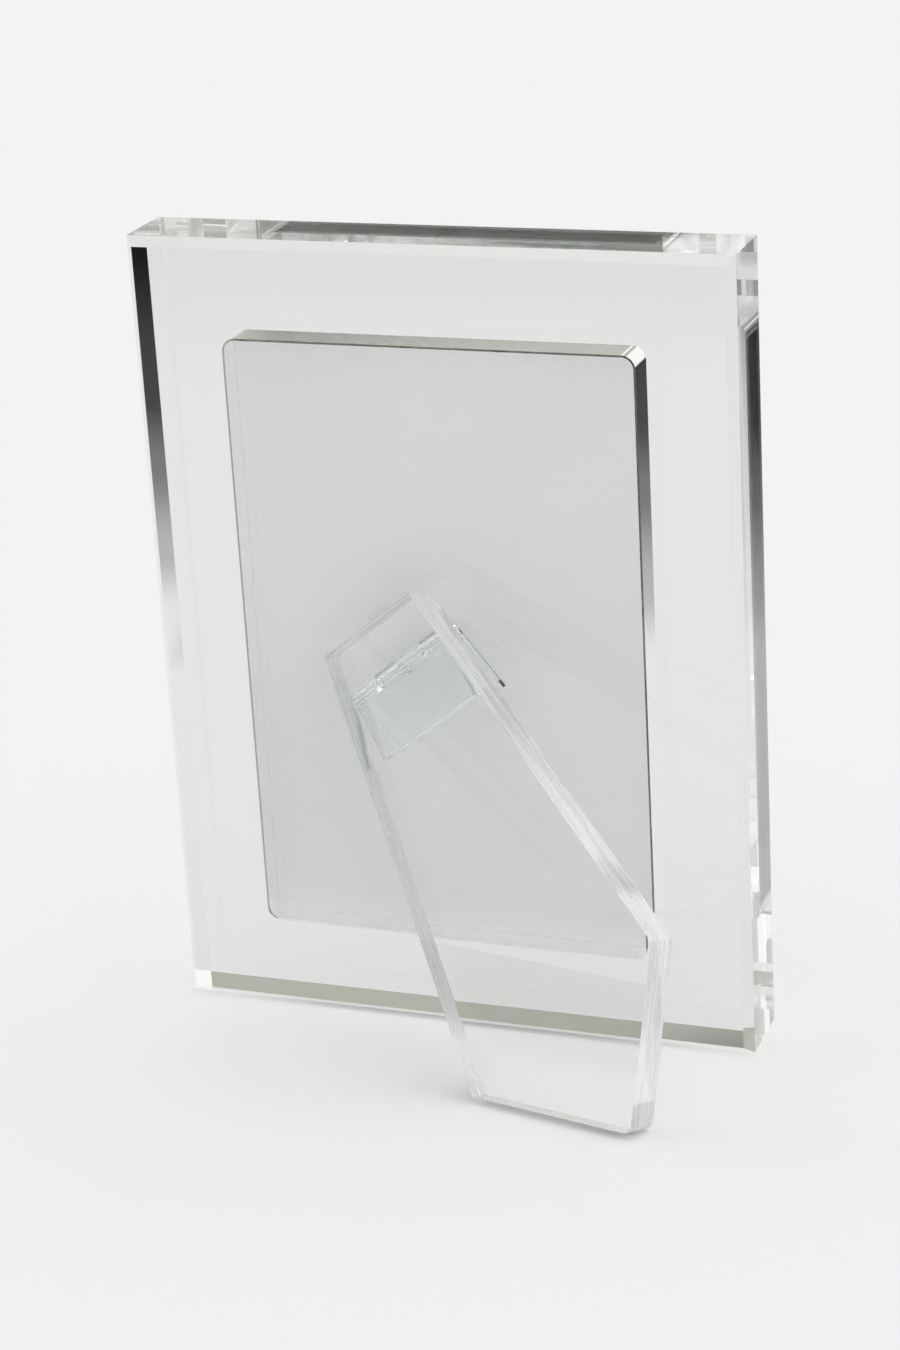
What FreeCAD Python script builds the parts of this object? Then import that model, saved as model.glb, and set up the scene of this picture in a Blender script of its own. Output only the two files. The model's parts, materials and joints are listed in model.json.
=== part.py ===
"""Clear block picture frame standing on its folding leg, seen from the back.

Lengths are in millimetres and angles in degrees.  Each piece is drawn upright,
with +X to the right seen from the front, +Y to the back and +Z up, from the
middle of the lower back edge that the block stands on.  The assembly is then
leaned back on its leg and centred over the origin.
"""
import FreeCAD, Part
import math
import os

# Block
block_width = 152.4
block_height = 203.2
block_depth = 21.2
bevel_inset = 2.2
bevel_depth = 2.6

# Sheets in the pocket, from its floor to the back face
print_width = 101.6
print_height = 152.4
print_thickness = 0.3
board_thickness = 3.2
panel_thickness = 10.0
sheet_gap = 0.05

# Room in the pocket, round the print and round the board and panel
side_margin = 1.4
end_margin = 1.3
pocket_corner_radius = 3.4
panel_gap = 0.5

# Stance on the floor, upright and turned on its side
upright_lean = 9.4
sideways_lean = 7.6

# Hinge, placed from the middle of the back face
hinge_right = 6.95
hinge_drop = 2.9
hinge_tilt = 38.4
hinge_width = 31.0
knuckle_count = 4
knuckle_radius = 2.2
knuckle_gap = 0.3
knuckle_rise = 0.3
leaf_thickness = 1.7
leaf_relief = 0.6
leaf_length = 15.0
pin_radius = 0.9
pin_clearance = 0.05
pin_stub = 0.4

# Leg
leg_thickness = 9.7
leg_opening = 24.8
leg_top_right = 14.0
leg_top_left = 15.4
upright_foot_length = 44.2
sideways_foot_length = 45.0
foot_corner_radius = 2.0
stop_gap = 0.1

# Cuts run past the faces that they open
overrun = 1.0

half_turn = 180.0
parallel_share = 1e-6

V = FreeCAD.Vector
ORIGIN = V(0, 0, 0)
X_AXIS = V(1, 0, 0)
Y_AXIS = V(0, 1, 0)
Z_AXIS = V(0, 0, 1)

back_y = bevel_depth
front_y = back_y - block_depth
middle_z = block_height / 2
pocket_width = print_width + 2 * side_margin
pocket_height = print_height + 2 * end_margin
hinge_offset = knuckle_radius + knuckle_rise

# Faces of the sheets, each a small gap behind the last
panel_low_y = back_y - panel_thickness
board_high_y = panel_low_y - sheet_gap
board_low_y = board_high_y - board_thickness
print_high_y = board_low_y - sheet_gap
print_low_y = print_high_y - print_thickness
pocket_floor_y = print_low_y - sheet_gap


def box_between(low, high):
    """Box from its lowest to its highest corner."""
    size = high - low
    return Part.makeBox(size.x, size.y, size.z, low)


def centred_slab(width, height, low_y, high_y):
    """Upright slab, centred on the block's back face."""
    low = V(-width / 2, low_y, middle_z - height / 2)
    high = V(width / 2, high_y, middle_z + height / 2)
    return box_between(low, high)


def edges_along(shape, direction):
    """Straight edges of a shape that run along a direction."""
    found = []
    for edge in shape.Edges:
        span = edge.Vertexes[-1].Point - edge.Vertexes[0].Point
        if span.Length > 0 and span.cross(direction).Length < span.Length * parallel_share:
            found.append(edge)
    return found


def nearest_edge(edges, point):
    """The edge that passes closest to a point."""
    vertex = Part.Vertex(point)
    return min(edges, key=lambda edge: edge.distToShape(vertex)[0])


def rounded_slab(width, height, radius, low_y, high_y):
    """Centred slab with rounded upright corners."""
    slab = centred_slab(width, height, low_y, high_y)
    return slab.makeFillet(radius, edges_along(slab, Y_AXIS))


def rectangle(width, height, y):
    """Closed rectangle around the block's axis, in the plane at y."""
    left = -width / 2
    right = width / 2
    low = middle_z - height / 2
    high = middle_z + height / 2
    corners = [V(left, y, low), V(right, y, low), V(right, y, high), V(left, y, high)]
    return Part.makePolygon(corners + corners[:1])


def front_block():
    """Solid block with a bevelled back border and a milled pocket."""
    body = centred_slab(block_width, block_height, front_y, 0)
    face_width = block_width - 2 * bevel_inset
    face_height = block_height - 2 * bevel_inset
    edge_outline = rectangle(block_width, block_height, 0)
    face_outline = rectangle(face_width, face_height, back_y)
    border = Part.makeLoft([edge_outline, face_outline], True, True)
    pocket = rounded_slab(
        pocket_width, pocket_height, pocket_corner_radius, pocket_floor_y, back_y + overrun)
    return body.fuse(border).removeSplitter().cut(pocket)


def filling_sheet(low_y, high_y):
    """Sheet that fills the pocket's outline but for a small gap all round."""
    width = pocket_width - 2 * panel_gap
    height = pocket_height - 2 * panel_gap
    return rounded_slab(width, height, pocket_corner_radius - panel_gap, low_y, high_y)


def pocket_sheets():
    """Print, backing board and panel, one behind another."""
    return {
        "photo_print": centred_slab(print_width, print_height, print_low_y, print_high_y),
        "backing_board": filling_sheet(board_low_y, board_high_y),
        "back_panel": filling_sheet(panel_low_y, back_y),
    }


# Hinge frame: X along the pin, Y out of the panel, Z up the leg
hinge_centre = V(hinge_right, back_y + hinge_offset, middle_z - hinge_drop)
hinge_place = FreeCAD.Placement(hinge_centre, FreeCAD.Rotation(Y_AXIS, hinge_tilt))
opening = FreeCAD.Placement(ORIGIN, FreeCAD.Rotation(X_AXIS, leg_opening))
leg_place = hinge_place.multiply(opening)


def hinge_leaf():
    """Leaf on the panel's face with every other knuckle, in the hinge frame."""
    knuckle_pitch = (hinge_width + knuckle_gap) / knuckle_count
    knuckle_length = knuckle_pitch - knuckle_gap
    left = -hinge_width / 2
    face_y = -hinge_offset
    plate_y = face_y + leaf_thickness
    leaf_start = knuckle_radius + leaf_relief
    plate_low = V(left, face_y, -leaf_start - leaf_length)
    plate_high = V(-left, plate_y, -leaf_start)
    leaf = box_between(plate_low, plate_high)
    for step in range(0, knuckle_count, 2):
        start = left + step * knuckle_pitch
        end = start + knuckle_length
        barrel = Part.makeCylinder(knuckle_radius, knuckle_length, V(start, 0, 0), X_AXIS)
        web = box_between(V(start, face_y, -leaf_start), V(end, plate_y, 0))
        leaf = leaf.fuse(barrel.fuse(web))
    bore_radius = pin_radius + pin_clearance
    bore_length = hinge_width + 2 * overrun
    bore = Part.makeCylinder(bore_radius, bore_length, V(left - overrun, 0, 0), X_AXIS)
    return leaf.removeSplitter().cut(bore)


def hinge_pin():
    """Straight pin through the four knuckles, in the hinge frame."""
    length = hinge_width + 2 * pin_stub
    return Part.makeCylinder(pin_radius, length, V(-length / 2, 0, 0), X_AXIS)


def floor_line(floor_point, up):
    """Where a floor plane meets the leg's inner face, as x * a + z * b = c."""
    turn = leg_place.Rotation
    base = leg_place.multVec(V(0, hinge_offset, 0))
    return up.dot(turn.multVec(X_AXIS)), up.dot(turn.multVec(Z_AXIS)), up.dot(floor_point - base)


def crossing(first, second):
    """Point where two lines of the leg's inner face cross."""
    a, b, c = first
    d, e, f = second
    scale = a * e - b * d
    return V((c * e - b * f) / scale, 0, (a * f - c * d) / scale)


def along(line, toward):
    """Unit direction of a line, on the side of a given direction."""
    run = V(line[1], 0, -line[0])
    run.normalize()
    return run if run.dot(toward) > 0 else -run


def easel_leg():
    """Leg plate whose two foot edges are cut by the floors of the two stances.

    Its top end runs past the pin until it meets the panel, which stops it.
    """
    lean = math.radians(upright_lean)
    side_lean = math.radians(sideways_lean)
    upright = floor_line(ORIGIN, V(0, -math.sin(lean), math.cos(lean)))
    side_point = V(-block_width / 2, 0, 0)
    sideways = floor_line(side_point, V(math.cos(side_lean), -math.sin(side_lean), 0))
    corner = crossing(upright, sideways)
    upright_end = corner + along(upright, X_AXIS) * upright_foot_length
    sideways_end = corner + along(sideways, Z_AXIS) * sideways_foot_length
    swing = math.radians(leg_opening)
    inner_height = hinge_offset + hinge_offset * math.cos(swing)
    top = (inner_height - stop_gap) / math.sin(swing)
    outline = [
        V(leg_top_right, 0, top), V(-leg_top_left, 0, top), sideways_end, corner, upright_end]
    wire = Part.makePolygon(outline + outline[:1])
    plate = Part.Face(wire).extrude(V(0, leg_thickness, 0))
    foot_edge = nearest_edge(edges_along(plate, Y_AXIS), corner)
    leg = plate.makeFillet(foot_corner_radius, [foot_edge])
    leg.translate(V(0, hinge_offset, 0))
    return leg


def placed(shape, place):
    """Copy of a shape moved by a placement."""
    moved = shape.copy()
    moved.Placement = place.multiply(moved.Placement)
    return moved


def assembly():
    """All pieces by node name, standing on the floor."""
    about_face = FreeCAD.Placement(ORIGIN, FreeCAD.Rotation(Z_AXIS, half_turn))
    leaf = hinge_leaf()
    pieces = {"front_block": front_block()}
    pieces.update(pocket_sheets())
    pieces["panel_leaf"] = placed(leaf, hinge_place)
    pieces["hinge_pin"] = placed(hinge_pin(), hinge_place)
    pieces["leg_leaf"] = placed(leaf, leg_place.multiply(about_face))
    pieces["easel_leg"] = placed(easel_leg(), leg_place)
    leaning = FreeCAD.Placement(ORIGIN, FreeCAD.Rotation(X_AXIS, -upright_lean))
    standing = {node: placed(shape, leaning) for node, shape in pieces.items()}
    extent = Part.makeCompound(list(standing.values())).optimalBoundingBox(False, False)
    centring = FreeCAD.Placement(V(0, -extent.Center.y, 0), FreeCAD.Rotation())
    return {node: placed(shape, centring) for node, shape in standing.items()}


os.makedirs("parts", exist_ok=True)
for node, shape in assembly().items():
    shape.exportStep("parts/" + node + ".step")
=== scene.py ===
import json
import math

import bpy
from mathutils import Matrix, Vector


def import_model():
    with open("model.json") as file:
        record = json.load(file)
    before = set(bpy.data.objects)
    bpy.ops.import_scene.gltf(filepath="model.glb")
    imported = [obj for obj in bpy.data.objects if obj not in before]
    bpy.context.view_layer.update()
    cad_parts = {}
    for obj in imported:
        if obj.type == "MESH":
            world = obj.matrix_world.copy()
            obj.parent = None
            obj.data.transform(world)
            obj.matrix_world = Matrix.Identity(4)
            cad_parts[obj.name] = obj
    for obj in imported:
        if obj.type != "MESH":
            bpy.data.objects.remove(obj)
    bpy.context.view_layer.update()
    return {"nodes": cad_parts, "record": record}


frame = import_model()
nodes = frame["nodes"]
scene = bpy.context.scene

MM = 0.001
JOINTS = {joint["name"]: joint for joint in frame["record"]["behaviour"]["joints"]}

# Directions of the leaning block and of the open leg
X_AXIS = Vector((1.0, 0.0, 0.0))
BACK_NORMAL = Vector(JOINTS["panel_lift"]["axis"]).normalized()
UP = X_AXIS.cross(BACK_NORMAL)
PIN_AXIS = Vector(JOINTS["leg_swing"]["axis"]).normalized()
LEG_OPENING = math.radians(-JOINTS["leg_swing"]["range_deg"][0])
LEG_NORMAL = Matrix.Rotation(LEG_OPENING, 3, PIN_AXIS) @ BACK_NORMAL
# Out of the leg's long edge at +X
LEG_SIDE = Vector((1.0, 0.0, -0.3)).normalized()

# Least cosine with a direction, for the faces that look along it and for all but those that look
# against it
ALONG_LIMIT = 0.6
NOT_AGAINST_LIMIT = -0.6
# Largest cosine of a cut face with the sheet's normal
CUT_LIMIT = 0.3

# Colours of the pieces
BLOCK_TINT = (0.875, 0.872, 0.863)
BLOCK_EDGE_TINT = (0.99, 0.99, 0.975)
PANEL_TINT = (0.985, 0.99, 0.995)
# Dark tint on the pocket's walls and the panel's edges, painted shade
SHADED_TINT = (0.24, 0.245, 0.24)
LEG_TINT = (0.972, 0.976, 0.973)
# Dark tint on the leg's sawn edge at +X only, painted shade
LEG_SIDE_PAINTED_SHADE = (0.36, 0.39, 0.385)
HINGE_TINT = (0.975, 0.985, 0.99)
BOARD_DEEP = (0.725, 0.722, 0.718)
BOARD_PALE = (0.745, 0.742, 0.738)
BOARD_GRAIN = (0.70, 0.698, 0.694)
PAPER_DEEP = (0.88, 0.88, 0.875)
PAPER_PALE = (0.90, 0.90, 0.895)
PAPER_TOOTH = (0.84, 0.84, 0.835)

# Clear plastic, with the colour and density that light meets inside it
ACRYLIC_IOR = 1.49
SHEET_DEPTH = ((0.86, 0.92, 0.88), 1.0)
HINGE_DEPTH = ((0.82, 0.88, 0.9), 6.0)
# Faint smears on polished faces
SMEAR_PALER = 1.01
SMEAR_ROUGH = 0.004
# Depth of the marks on cuts and of the board's grain, and how far milling marks slant
MARK_DEPTH = 0.1 * MM
MILL_SLANT = 0.9
# Share of a cut's roughness and frost that is left where its marks are faintest
FAINT_ROUGH_SHARE = 0.3
FAINT_FROST_SHARE = 0.5
# Band of a broad noise over which one tone goes over into another
CLOUD_BAND = (0.3, 0.7)

# Stage
BACKDROP = (0.8963, 0.8963, 0.8963)
TABLE_CLOUD = (0.894, 0.894, 0.894)
TABLE_HALF = 6.0
TABLE_DROP = 0.2 * MM
CEILING = (0.47, 0.475, 0.41)
PLAIN_LIGHT = (1.0, 1.0, 1.0)
BLACK = (0.0, 0.0, 0.0)

# What the glass mirrors of the table.  Each step is a band of distances in metres, and the share
# of the light that is left before and beyond it.
FAR_STEPS = ((0.52, 0.66, 1.0, 0.55), (0.66, 0.92, 1.0, 0.33), (0.92, 1.2, 1.0, 0.05))
CAMERA_SIDE_STEP = (0.30, 0.52, 1.0, 0.45)
CAMERA_FOOT_STEP = (0.34, 0.46, 1.0, 0.08)
# The table darkens sooner where the backdrop ends
SOONER = (-16.6, -14.0, 1.0, 1.3)
# It stays lit towards +X and towards the soft box
LIT_SIDE = (0.0, 0.12)
LIT_TURN = (-44.0, -38.0)

# What the glass mirrors above the table.  Turn runs round from -Y towards +X and rise runs up from
# the horizon, in degrees.  An edge fades in or out over its band, and each panel hangs over the
# ones before it.
CEILING_RISE = (-4.0, 40.0)
STUDIO = (
    # dark strip over the backdrop's top edge, and the window above it
    {"turn_in": (5.0, 9.0), "turn_out": (24.8, 26.0), "rise_in": (18.5, 20.0),
     "rise_out": (22.9, 23.7), "colour": (0.025, 0.025, 0.022)},
    {"turn_in": (12.49, 12.51), "turn_out": (17.69, 17.71), "rise_in": (22.69, 22.71),
     "rise_out": (35.99, 36.01), "colour": (1.12, 1.12, 1.12)},
    # shade above the window and beside it
    {"turn_out": (17.7, 21.0), "rise_in": (36.0, 37.0), "colour": (0.265, 0.275, 0.255)},
    # soft box past the backdrop's end, which comes in over a foot that climbs with the turn
    {"turn_in": (-85.0, -78.0), "turn_out": (-1.0, 5.0), "foot": (-42.0, -38.0, -11.0, 1.0),
     "rise_in": (0.0, 5.0), "rise_out": (50.0, 58.0), "colour": (1.12, 1.12, 1.11)},
    # dark gap under it
    {"turn_in": (-44.0, -38.0), "turn_out": (-8.0, -4.0), "rise_out": (-2.0, 3.0),
     "colour": (0.034, 0.033, 0.030)},
    # second soft box, beside the camera
    {"turn_in": (104.0, 107.0), "turn_out": (146.0, 152.0), "rise_in": (8.0, 12.0),
     "rise_out": (45.0, 52.0), "colour": (1.06, 1.06, 1.05)},
    # low wall behind the camera, to both sides of it
    {"both_ways": True, "turn_in": (144.0, 150.0), "rise_in": (5.0, 9.0),
     "rise_out": (25.0, 31.0), "colour": (0.6, 0.6, 0.59)},
    # pale middle of the ceiling
    {"rise_in": (60.0, 68.0), "colour": (0.9, 0.9, 0.88)},
    # lamp at the side, for the light along the knuckles
    {"turn_in": (94.0, 97.0), "turn_out": (102.0, 105.0), "rise_in": (3.0, 6.0),
     "rise_out": (40.0, 43.0), "colour": (5.5, 5.5, 5.5)},
    # small lamp overhead, for glints on round and broken edges
    {"rise_in": (78.0, 81.0), "colour": (7.0, 7.0, 7.0)},
)

# Camera, from the photograph's perspective
CAMERA_PLACE = (-0.270831, 0.729920, 0.265864)
CAMERA_TURN = (77.6776, -0.0558, -159.9675)
CAMERA_SENSOR = 36.0
CAMERA_LENS = 87.413
CAMERA_NEAR = 0.05
CAMERA_FAR = 50.0

# Bounces that let light leave thick clear pieces
GLASS_BOUNCES = 96
DIFFUSE_BOUNCES = 4
# Parts no bounce from one
BOUNCE_LIMIT = 0.5

# Colour sockets of the mix node
MIX_FIRST = 6
MIX_SECOND = 7
MIX_RESULT = 2


# Node help
def opaque(colour):
    """A colour with the alpha that its socket takes."""
    return (*colour, 1.0)


class Graph:
    """Short calls for building one node tree."""

    def __init__(self, tree):
        self.tree = tree
        tree.nodes.clear()

    def node(self, kind, **settings):
        made = self.tree.nodes.new(kind)
        for key, value in settings.items():
            setattr(made, key, value)
        return made

    def put(self, target, value):
        if isinstance(value, bpy.types.NodeSocket):
            self.tree.links.new(value, target)
        else:
            target.default_value = value

    def math(self, operation, *values):
        made = self.node("ShaderNodeMath", operation=operation)
        for socket, value in zip(made.inputs, values):
            self.put(socket, value)
        return made.outputs[0]

    def vector(self, operation, *values):
        made = self.node("ShaderNodeVectorMath", operation=operation)
        for socket, value in zip(made.inputs, values):
            self.put(socket, value)
        return made.outputs["Value" if operation in ("DOT_PRODUCT", "LENGTH") else "Vector"]

    def scaled(self, vector, factor):
        made = self.node("ShaderNodeVectorMath", operation="SCALE")
        self.put(made.inputs[0], vector)
        self.put(made.inputs["Scale"], factor)
        return made.outputs[0]

    def mix_colour(self, factor, first, second):
        made = self.node("ShaderNodeMix", data_type="RGBA")
        self.put(made.inputs[0], factor)
        self.put(made.inputs[MIX_FIRST], first)
        self.put(made.inputs[MIX_SECOND], second)
        return made.outputs[MIX_RESULT]

    def ramp(self, value, low, high, start=0.0, end=1.0):
        """Smooth change from start to end while a value goes from low to high."""
        made = self.node("ShaderNodeMapRange", interpolation_type="SMOOTHSTEP")
        self.put(made.inputs["Value"], value)
        made.inputs["From Min"].default_value = low
        made.inputs["From Max"].default_value = high
        made.inputs["To Min"].default_value = start
        made.inputs["To Max"].default_value = end
        return made.outputs[0]

    def fade_out(self, value, low, high):
        """1 below a band of values and 0 above it."""
        return self.ramp(value, low, high, 1.0, 0.0)

    def along(self, point, direction):
        """How far a point lies along a direction."""
        return self.vector("DOT_PRODUCT", point, tuple(direction))

    def between(self, value, low, high):
        """1 where a value lies between two limits."""
        above = self.math("GREATER_THAN", value, low)
        return self.math("MULTIPLY", above, self.math("LESS_THAN", value, high))

    def both(self, *masks):
        """Product of masks."""
        product = masks[0]
        for mask in masks[1:]:
            product = self.math("MULTIPLY", product, mask)
        return product

    def place(self):
        """Place of a point on its object."""
        return self.node("ShaderNodeTexCoord").outputs["Object"]

    def noise(self, vector, scale, detail, roughness):
        made = self.node("ShaderNodeTexNoise")
        self.put(made.inputs["Vector"], vector)
        made.inputs["Scale"].default_value = scale
        made.inputs["Detail"].default_value = detail
        made.inputs["Roughness"].default_value = roughness
        return made.outputs["Fac"]

    def bump(self, height, strength):
        made = self.node("ShaderNodeBump")
        made.inputs["Strength"].default_value = strength
        made.inputs["Distance"].default_value = MARK_DEPTH
        self.put(made.inputs["Height"], height)
        return made.outputs[0]

    def turn_of(self, x, y):
        """Degrees round from -Y towards +X."""
        return self.math("DEGREES", self.math("ARCTAN2", x, self.math("MULTIPLY", y, -1.0)))


def material(name):
    """New material with its graph and its output."""
    made = bpy.data.materials.new(name)
    made.use_nodes = True
    g = Graph(made.node_tree)
    return made, g, g.node("ShaderNodeOutputMaterial")


def coated(name, depth=None):
    """New material with its graph, its place on the object and its shader.

    depth is the colour and density that light meets inside the piece.
    """
    made, g, out = material(name)
    shader = g.node("ShaderNodeBsdfPrincipled")
    g.put(out.inputs["Surface"], shader.outputs[0])
    if depth:
        colour, density = depth
        inside = g.node("ShaderNodeVolumeAbsorption")
        inside.inputs["Color"].default_value = opaque(colour)
        inside.inputs["Density"].default_value = density
        g.put(out.inputs["Volume"], inside.outputs[0])
    return made, g, g.place(), shader


def dress(node_name, made):
    """Gives a CAD node one material in all its slots."""
    data = nodes[node_name].data
    for index in range(len(data.materials)):
        data.materials[index] = made
    if not data.materials:
        data.materials.append(made)


# Materials
def lean_of(g, direction):
    """Cosine between a face's own normal and a direction."""
    return g.along(g.node("ShaderNodeTexCoord").outputs["Normal"], direction)


def cut_faces(g, sheet_normal):
    """1 on the faces that stand square to a sheet's two polished sides."""
    return g.math("LESS_THAN", g.math("ABSOLUTE", lean_of(g, sheet_normal)), CUT_LIMIT)


def limits(node_name, direction):
    """Lowest and highest place of a CAD node along a direction."""
    places = [direction.dot(vertex.co) for vertex in nodes[node_name].data.vertices]
    return min(places), max(places)


def pocket_region(g, coord):
    """1 in the middle of the block, out to half-way between the panel's rim and the block's."""
    masks = []
    for direction in (X_AXIS, UP):
        ends = zip(limits("front_block", direction), limits("back_panel", direction))
        low, high = [sum(pair) / 2 for pair in ends]
        masks.append(g.between(g.along(coord, direction), low, high))
    return g.both(*masks)


def streaks(g, coord, look):
    """Fine marks drawn out along a cut: quick across it, slow along it."""
    drawn = g.scaled(coord, look["length_share"])
    pushed = g.scaled(tuple(look["across"]), g.along(coord, look["across"]))
    return g.noise(g.vector("ADD", drawn, pushed), look["scale"], detail=3.0, roughness=0.65)


def tint_faces(g, faces, colour, look):
    """Colour of the faces, or of those among them that a look picks by direction."""
    if "toward" in look:
        picked = g.math("GREATER_THAN", lean_of(g, look["toward"]), look["limit"])
        faces = g.both(faces, picked)
    return g.mix_colour(faces, colour, opaque(look["tint"]))


def acrylic(name, tint, depth, edge=None, wall=None):
    """Clear plastic that takes its colour from its depth.

    edge is the look of a sheet's cut faces, and wall that of the walls of the pocket in it.
    """
    made, g, coord, shader = coated(name, depth)
    smear = g.noise(coord, scale=38.0, detail=4.0, roughness=0.6)
    pale = tuple(min(1.0, share * SMEAR_PALER) for share in tint)
    colour = g.mix_colour(g.ramp(smear, low=0.35, high=0.75), opaque(pale), opaque(tint))
    rough = g.ramp(smear, low=0.55, high=0.85, end=SMEAR_ROUGH)
    clear = 1.0
    if edge:
        cut = cut_faces(g, edge["across"])
        outer = cut
        marks = streaks(g, coord, edge)
        if wall:
            inner = g.both(cut, pocket_region(g, coord))
            outer = g.math("SUBTRACT", cut, inner)
            milled = g.both(streaks(g, coord, wall), inner, wall["bump"] / edge["bump"])
            marks = g.math("ADD", g.both(marks, outer), milled)
            rough = g.math("ADD", rough, g.both(inner, wall["rough"]))
            colour = tint_faces(g, inner, colour, wall)
        faint = FAINT_ROUGH_SHARE * edge["rough"]
        roughened = g.ramp(marks, low=0.35, high=0.7, start=faint, end=edge["rough"])
        rough = g.math("ADD", rough, g.both(outer, roughened))
        colour = tint_faces(g, outer, colour, edge)
        if "frost" in edge:
            faint = FAINT_FROST_SHARE * edge["frost"]
            frosted = g.ramp(marks, low=0.38, high=0.62, start=faint, end=edge["frost"])
            clear = g.math("SUBTRACT", 1.0, g.both(outer, frosted))
        g.put(shader.inputs["Normal"], g.bump(g.both(marks, cut), edge["bump"]))
    g.put(shader.inputs["Base Color"], colour)
    g.put(shader.inputs["Roughness"], rough)
    g.put(shader.inputs["Transmission Weight"], clear)
    shader.inputs["IOR"].default_value = ACRYLIC_IOR
    return made


def board():
    """Pale grey card with a faint mottle."""
    made, g, coord, shader = coated("pale_board")
    cloud = g.noise(coord, scale=22.0, detail=3.0, roughness=0.55)
    grain = g.noise(coord, scale=2600.0, detail=2.0, roughness=0.6)
    base = g.mix_colour(g.ramp(cloud, *CLOUD_BAND), opaque(BOARD_DEEP), opaque(BOARD_PALE))
    fleck = g.ramp(grain, low=0.35, high=0.65, end=0.35)
    grained = g.mix_colour(fleck, base, opaque(BOARD_GRAIN))
    g.put(shader.inputs["Base Color"], grained)
    shader.inputs["Roughness"].default_value = 0.75
    shader.inputs["Specular IOR Level"].default_value = 0.2
    g.put(shader.inputs["Normal"], g.bump(grain, strength=0.15))
    return made


def paper():
    """Blank satin print paper."""
    made, g, coord, shader = coated("print_paper")
    tooth = g.noise(coord, scale=1800.0, detail=2.0, roughness=0.6)
    cloud = g.noise(coord, scale=15.0, detail=2.0, roughness=0.5)
    base = g.mix_colour(g.ramp(cloud, *CLOUD_BAND), opaque(PAPER_DEEP), opaque(PAPER_PALE))
    fleck = g.ramp(tooth, low=0.4, high=0.7, end=0.3)
    g.put(shader.inputs["Base Color"], g.mix_colour(fleck, base, opaque(PAPER_TOOTH)))
    g.put(shader.inputs["Roughness"], g.ramp(tooth, low=0.3, high=0.7, start=0.32, end=0.42))
    return made


def dress_pieces():
    """Gives each piece its material."""
    block_edge = {
        "across": BACK_NORMAL, "scale": 900.0, "length_share": 0.04, "rough": 0.004, "bump": 0.01,
        "tint": BLOCK_EDGE_TINT}
    # The pocket's bottom wall and the panel's edge on it stay clear, and the others get a dark
    # tint, painted shade
    pocket_wall = {
        "across": (BACK_NORMAL + UP * MILL_SLANT).normalized(), "scale": 900.0, "length_share": 0.3,
        "rough": 0.01, "bump": 0.12, "tint": SHADED_TINT, "toward": -UP, "limit": NOT_AGAINST_LIMIT}
    panel_edge = {
        "across": BACK_NORMAL, "scale": 1200.0, "length_share": 0.05, "rough": 0.02, "bump": 0.03,
        "tint": SHADED_TINT, "toward": UP, "limit": NOT_AGAINST_LIMIT}
    # Sawn edges, and a dark tint on the one at +X, painted shade
    leg_edge = {
        "across": LEG_NORMAL, "scale": 700.0, "length_share": 0.05, "rough": 0.03, "bump": 0.45,
        "frost": 0.5, "tint": LEG_SIDE_PAINTED_SHADE, "toward": LEG_SIDE, "limit": ALONG_LIMIT}
    dress("front_block", acrylic("block_acrylic", BLOCK_TINT, SHEET_DEPTH, block_edge, pocket_wall))
    dress("back_panel", acrylic("panel_acrylic", PANEL_TINT, SHEET_DEPTH, panel_edge))
    dress("easel_leg", acrylic("leg_acrylic", LEG_TINT, SHEET_DEPTH, leg_edge))
    for name in ("panel_leaf", "leg_leaf", "hinge_pin"):
        dress(name, acrylic(name + "_acrylic", HINGE_TINT, HINGE_DEPTH))
    dress("backing_board", board())
    dress("photo_print", paper())


# Stage
def undiffused(g, path):
    """1 for a ray that no matt face has scattered."""
    return g.math("LESS_THAN", path.outputs["Diffuse Depth"], BOUNCE_LIMIT)


def reflected(g):
    """1 for a ray that was mirrored, outside or inside the clear pieces, on its way here."""
    path = g.node("ShaderNodeLightPath")
    mirrored = g.math("GREATER_THAN", path.outputs["Glossy Depth"], BOUNCE_LIMIT)
    return g.both(mirrored, undiffused(g, path))


def seen(g):
    """1 for a ray that comes straight, or through glass or a mirror, from the camera."""
    path = g.node("ShaderNodeLightPath")
    either = g.math("MAXIMUM", path.outputs["Is Camera Ray"], path.outputs["Is Glossy Ray"])
    either = g.math("MAXIMUM", either, path.outputs["Is Transmission Ray"])
    return g.both(either, undiffused(g, path))


def table_light(g, coord):
    """Share of the table's light that is left in what the glass mirrors."""
    split = g.node("ShaderNodeSeparateXYZ")
    g.put(split.inputs[0], coord)
    x, y = split.outputs[:2]
    turn = g.turn_of(x, y)
    reach = g.vector("LENGTH", coord)
    stretched = g.math("MULTIPLY", reach, g.ramp(turn, *SOONER))
    away = g.both(*[g.ramp(stretched, *step) for step in FAR_STEPS])
    lit = g.math("MAXIMUM", g.ramp(x, *LIT_SIDE), g.fade_out(turn, *LIT_TURN))
    away = g.math("MAXIMUM", away, lit)
    front = g.math("MAXIMUM", g.ramp(reach, *CAMERA_SIDE_STEP), g.math("LESS_THAN", y, 0.0))
    return g.both(away, front, g.ramp(y, *CAMERA_FOOT_STEP))


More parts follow.
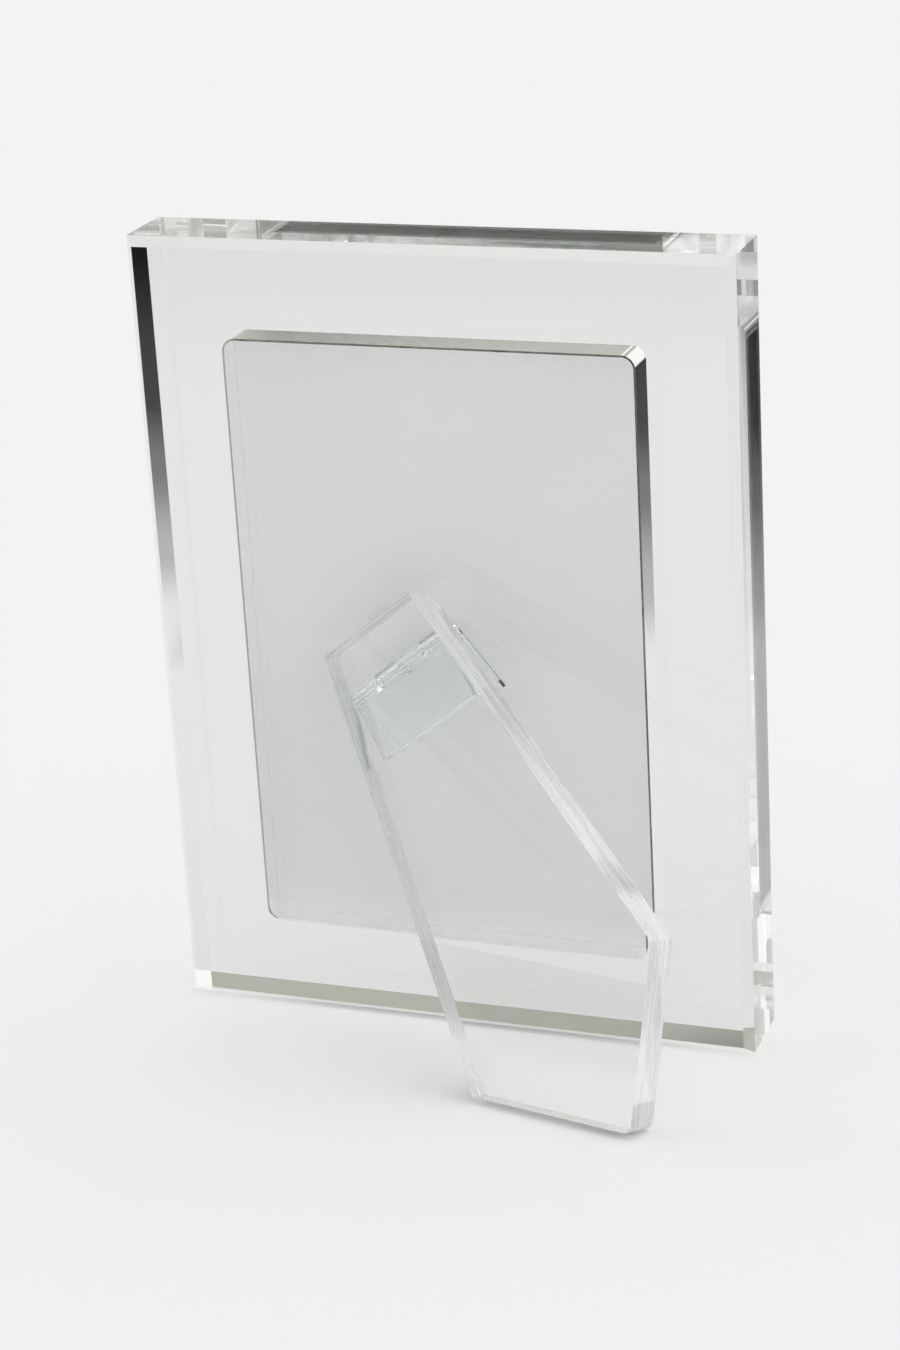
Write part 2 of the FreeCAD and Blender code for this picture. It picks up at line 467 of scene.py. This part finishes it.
def floor():
    """White paper table that falls off to a dark room in what the glass mirrors; that falloff is
    painted shade, the table's colour mixed towards black.
    """
    data = bpy.data.meshes.new("floor")
    corners = [(-1, -1), (1, -1), (1, 1), (-1, 1)]
    data.from_pydata([(x * TABLE_HALF, y * TABLE_HALF, 0) for x, y in corners], [], [(0, 1, 2, 3)])
    made = bpy.data.objects.new("floor", data)
    scene.collection.objects.link(made)
    made.location.z = -TABLE_DROP
    look, g, out = material("floor_paper")
    coord = g.place()
    cloud = g.noise(coord, scale=3.0, detail=2.0, roughness=0.5)
    pale = g.mix_colour(g.ramp(cloud, *CLOUD_BAND), opaque(BACKDROP), opaque(TABLE_CLOUD))
    # painted shade: the table's colour is mixed towards black in what the glass mirrors
    fade = g.both(g.math("SUBTRACT", 1.0, table_light(g, coord)), reflected(g))
    shader = g.node("ShaderNodeBsdfDiffuse")
    g.put(shader.inputs["Color"], g.mix_colour(fade, pale, opaque(BLACK)))
    g.put(out.inputs["Surface"], shader.outputs[0])
    data.materials.append(look)


def panel_mask(g, turn, rise, panel):
    """1 inside a panel of the studio."""
    if panel.get("both_ways"):
        turn = g.math("ABSOLUTE", turn)
    masks = []
    if "turn_in" in panel:
        masks.append(g.ramp(turn, *panel["turn_in"]))
    if "turn_out" in panel:
        masks.append(g.fade_out(turn, *panel["turn_out"]))
    if "rise_out" in panel:
        masks.append(g.fade_out(rise, *panel["rise_out"]))
    if "foot" in panel:
        rise = g.math("SUBTRACT", rise, g.ramp(turn, *panel["foot"]))
    if "rise_in" in panel:
        masks.append(g.ramp(rise, *panel["rise_in"]))
    return g.both(*masks)


def world():
    """Plain white light, a pale backdrop to look at, and a studio for the glass to mirror."""
    made = bpy.data.worlds.new("studio")
    made.use_nodes = True
    scene.world = made
    g = Graph(made.node_tree)
    out = g.node("ShaderNodeOutputWorld")
    split = g.node("ShaderNodeSeparateXYZ")
    g.put(split.inputs[0], g.node("ShaderNodeTexCoord").outputs["Generated"])
    x, y, z = split.outputs
    rise = g.math("DEGREES", g.math("ARCSINE", z))
    turn = g.turn_of(x, y)
    studio = g.mix_colour(g.ramp(rise, *CEILING_RISE), opaque(BACKDROP), opaque(CEILING))
    for panel in STUDIO:
        studio = g.mix_colour(panel_mask(g, turn, rise, panel), studio, opaque(panel["colour"]))
    colour = g.mix_colour(reflected(g), opaque(BACKDROP), studio)
    colour = g.mix_colour(seen(g), opaque(PLAIN_LIGHT), colour)
    back = g.node("ShaderNodeBackground")
    g.put(back.inputs["Color"], colour)
    g.put(out.inputs["Surface"], back.outputs[0])


def camera():
    """Camera at the photograph's place."""
    data = bpy.data.cameras.new("camera")
    data.sensor_width = CAMERA_SENSOR
    data.lens = CAMERA_LENS
    data.clip_start = CAMERA_NEAR
    data.clip_end = CAMERA_FAR
    made = bpy.data.objects.new("camera", data)
    scene.collection.objects.link(made)
    made.rotation_mode = "XYZ"
    made.location = CAMERA_PLACE
    made.rotation_euler = tuple(math.radians(angle) for angle in CAMERA_TURN)
    scene.camera = made


dress_pieces()
floor()
world()
camera()
scene.view_settings.view_transform = "Standard"
scene.cycles.max_bounces = GLASS_BOUNCES
scene.cycles.transmission_bounces = GLASS_BOUNCES
scene.cycles.glossy_bounces = GLASS_BOUNCES
scene.cycles.diffuse_bounces = DIFFUSE_BOUNCES
scene.cycles.blur_glossy = 0.0
